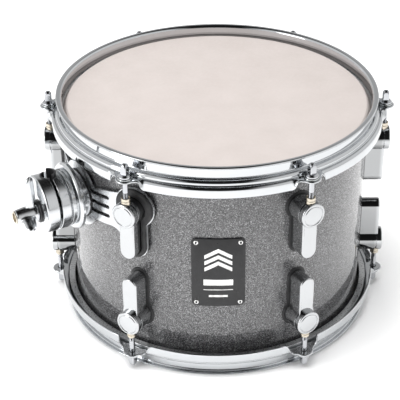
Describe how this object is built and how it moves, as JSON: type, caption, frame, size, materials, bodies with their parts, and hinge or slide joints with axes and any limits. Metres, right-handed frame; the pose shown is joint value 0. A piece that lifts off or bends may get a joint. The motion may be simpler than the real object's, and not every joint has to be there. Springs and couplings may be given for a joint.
{
  "type": "tom tom drum",
  "caption": "Small tom tom drum with a sparkle shell, coated head, chrome triple-flanged hoops, square-headed tension rods and a rubber-hung arm clamp with a wing nut.",
  "frame": {"origin": "on the drum axis, at the plane of the lower rim", "axes": "+Z along the drum axis towards the batter head; the badge faces -Y; +X at the first lug, anticlockwise from above"},
  "size_m": [0.3774, 0.3344, 0.236],
  "materials": {
    "sparkle_maple": "clear gloss lacquer over fine silver sparkle outside, oiled maple inside",
    "coated_film": "fine sprayed coating",
    "clear_film": "clear polished film",
    "chrome": "mirror chrome on rolled steel",
    "chrome_cast": "mirror chrome on castings",
    "rod_steel": "chromed rod with rolled thread",
    "washer_steel": "satin chrome",
    "zinc_steel": "zinc plate",
    "channel_aluminium": "mill finish",
    "nut_brass": "turned brass",
    "rubber_black": "matt moulded",
    "nylon_black": "satin moulded",
    "badge_black": "satin black with a pale printed emblem",
    "eyelet_nickel": "nickel plate"
  },
  "bodies": {
    "drum": {"shell": "sparkle_maple", "vent_grommet": "chrome", "badge": "badge_black", "badge_rivets": "eyelet_nickel", "batter_film": "coated_film", "batter_flesh_hoop": "channel_aluminium", "batter_hoop": "chrome", "resonant_film": "clear_film", "resonant_flesh_hoop": "channel_aluminium", "resonant_hoop": "chrome", "batter_rod_washers": "washer_steel", "resonant_rod_washers": "washer_steel", "batter_lug_nuts": "nut_brass", "resonant_lug_nuts": "nut_brass", "lug_gaskets": "rubber_black", "lug_screws": "zinc_steel", "lug_screw_washers": "zinc_steel", "mount_isolator_left": "rubber_black", "mount_isolator_right": "rubber_black", "mount_bracket": "chrome", "clamp_base_pad": "rubber_black", "clamp_base": "chrome_cast", "clamp_base_screws": "zinc_steel", "clamp_inner_jaw": "chrome_cast", "clamp_jaw_screws": "zinc_steel", "clamp_eye_bolt": "zinc_steel", "clamp_inner_sleeve": "nylon_black", "batter_lug_1": "chrome_cast", "batter_lug_2": "chrome_cast", "batter_lug_3": "chrome_cast", "batter_lug_4": "chrome_cast", "batter_lug_5": "chrome_cast", "batter_lug_6": "chrome_cast", "resonant_lug_1": "chrome_cast", "resonant_lug_2": "chrome_cast", "resonant_lug_3": "chrome_cast", "resonant_lug_4": "chrome_cast", "resonant_lug_5": "chrome_cast", "resonant_lug_6": "chrome_cast"},
    "batter_rod_1": {"batter_rod_1": "rod_steel"},
    "batter_rod_2": {"batter_rod_2": "rod_steel"},
    "batter_rod_3": {"batter_rod_3": "rod_steel"},
    "batter_rod_4": {"batter_rod_4": "rod_steel"},
    "batter_rod_5": {"batter_rod_5": "rod_steel"},
    "batter_rod_6": {"batter_rod_6": "rod_steel"},
    "resonant_rod_1": {"resonant_rod_1": "rod_steel"},
    "resonant_rod_2": {"resonant_rod_2": "rod_steel"},
    "resonant_rod_3": {"resonant_rod_3": "rod_steel"},
    "resonant_rod_4": {"resonant_rod_4": "rod_steel"},
    "resonant_rod_5": {"resonant_rod_5": "rod_steel"},
    "resonant_rod_6": {"resonant_rod_6": "rod_steel"},
    "outer_jaw": {"clamp_outer_jaw": "chrome_cast", "clamp_outer_sleeve": "nylon_black", "clamp_seat_washer": "nylon_black"},
    "wing_nut": {"wing_nut": "chrome_cast", "wing_nut_insert": "nut_brass"}
  },
  "joints": [
    {"name": "batter_rod_1_turn", "type": "hinge", "parent": "drum", "child": "batter_rod_1", "pos_m": [0.17, 0, 0.218], "axis": [0, 0, 1], "range_deg": [-180, 180]},
    {"name": "batter_rod_2_turn", "type": "hinge", "parent": "drum", "child": "batter_rod_2", "pos_m": [0.085, 0.14722, 0.218], "axis": [0, 0, 1], "range_deg": [-180, 180]},
    {"name": "batter_rod_3_turn", "type": "hinge", "parent": "drum", "child": "batter_rod_3", "pos_m": [-0.085, 0.14722, 0.218], "axis": [0, 0, 1], "range_deg": [-180, 180]},
    {"name": "batter_rod_4_turn", "type": "hinge", "parent": "drum", "child": "batter_rod_4", "pos_m": [-0.17, 0, 0.218], "axis": [0, 0, 1], "range_deg": [-180, 180]},
    {"name": "batter_rod_5_turn", "type": "hinge", "parent": "drum", "child": "batter_rod_5", "pos_m": [-0.085, -0.14722, 0.218], "axis": [0, 0, 1], "range_deg": [-180, 180]},
    {"name": "batter_rod_6_turn", "type": "hinge", "parent": "drum", "child": "batter_rod_6", "pos_m": [0.085, -0.14722, 0.218], "axis": [0, 0, 1], "range_deg": [-180, 180]},
    {"name": "resonant_rod_1_turn", "type": "hinge", "parent": "drum", "child": "resonant_rod_1", "pos_m": [0.17, 0, 0.018], "axis": [0, 0, -1], "range_deg": [-180, 180]},
    {"name": "resonant_rod_2_turn", "type": "hinge", "parent": "drum", "child": "resonant_rod_2", "pos_m": [0.085, 0.14722, 0.018], "axis": [0, 0, -1], "range_deg": [-180, 180]},
    {"name": "resonant_rod_3_turn", "type": "hinge", "parent": "drum", "child": "resonant_rod_3", "pos_m": [-0.085, 0.14722, 0.018], "axis": [0, 0, -1], "range_deg": [-180, 180]},
    {"name": "resonant_rod_4_turn", "type": "hinge", "parent": "drum", "child": "resonant_rod_4", "pos_m": [-0.17, 0, 0.018], "axis": [0, 0, -1], "range_deg": [-180, 180]},
    {"name": "resonant_rod_5_turn", "type": "hinge", "parent": "drum", "child": "resonant_rod_5", "pos_m": [-0.085, -0.14722, 0.018], "axis": [0, 0, -1], "range_deg": [-180, 180]},
    {"name": "resonant_rod_6_turn", "type": "hinge", "parent": "drum", "child": "resonant_rod_6", "pos_m": [0.085, -0.14722, 0.018], "axis": [0, 0, -1], "range_deg": [-180, 180]},
    {"name": "outer_jaw_slide", "type": "slide", "parent": "drum", "child": "outer_jaw", "axis": [-0.866, -0.5, 0], "range_m": [0, 0.0015]},
    {"name": "wing_nut_turn", "type": "hinge", "parent": "outer_jaw", "child": "wing_nut", "pos_m": [-0.16281, -0.094, 0.154], "axis": [-0.866, -0.5, 0], "range_deg": [0, 432]}
  ],
  "couplings": [
    {"joint": "wing_nut_turn", "follows": "outer_jaw_slide", "rad_per_m": 5026.5}
  ]
}
